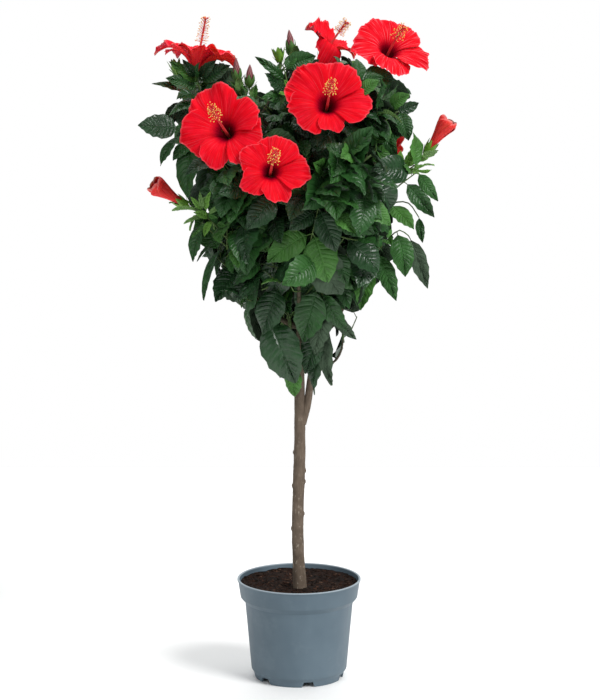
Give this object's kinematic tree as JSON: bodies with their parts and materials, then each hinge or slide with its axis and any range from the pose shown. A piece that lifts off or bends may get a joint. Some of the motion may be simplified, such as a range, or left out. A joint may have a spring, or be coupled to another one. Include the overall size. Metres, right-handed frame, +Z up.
{
  "type": "hibiscus standard in a nursery pot",
  "caption": "Hibiscus shrub grown as a standard: a clipped stem in a round nursery pot of compost, with a heart-shaped crown of glossy leaves and large red blooms.",
  "frame": {"origin": "centre of the circle that the pot's feet stand on, at the ground", "axes": "+Z up along the stem, -Y towards the plant's front, +X to the right seen from the front"},
  "size_m": [0.4593, 0.4554, 1.0117],
  "materials": {
    "pot": "matte grey-blue injection-moulded plastic",
    "compost": "moist, crumbly dark brown peat and bark compost",
    "bark": "rough grey-brown bark",
    "foliage": "glossy dark green leaves, with soft red petals on the blooms"
  },
  "bodies": {
    "root": {"pot": "pot", "compost": "compost", "trunk": "bark", "second_stem": "bark", "bough_waist_0": "bark", "bough_waist_1": "bark", "bough_waist_2": "bark", "bough_waist_3": "bark", "bough_waist_4": "bark", "bough_shoulder_0": "bark", "bough_shoulder_1": "bark", "bough_shoulder_2": "bark", "bough_shoulder_3": "bark", "bough_shoulder_4": "bark", "bough_shoulder_5": "bark", "bough_head_0": "bark", "bough_head_1": "bark", "bough_head_2": "bark", "bough_head_3": "bark", "bough_head_4": "bark", "foliage_skirt_0": "foliage", "foliage_skirt_1": "foliage", "foliage_skirt_2": "foliage", "foliage_waist_0": "foliage", "foliage_waist_1": "foliage", "foliage_waist_2": "foliage", "foliage_waist_3": "foliage", "foliage_waist_4": "foliage", "foliage_shoulder_0": "foliage", "foliage_shoulder_1": "foliage", "foliage_shoulder_2": "foliage", "foliage_shoulder_3": "foliage", "foliage_shoulder_4": "foliage", "foliage_shoulder_5": "foliage", "foliage_head_0": "foliage", "foliage_head_1": "foliage", "foliage_head_2": "foliage", "foliage_head_3": "foliage", "foliage_head_4": "foliage", "foliage_crest_0": "foliage"}
  },
  "joints": []
}
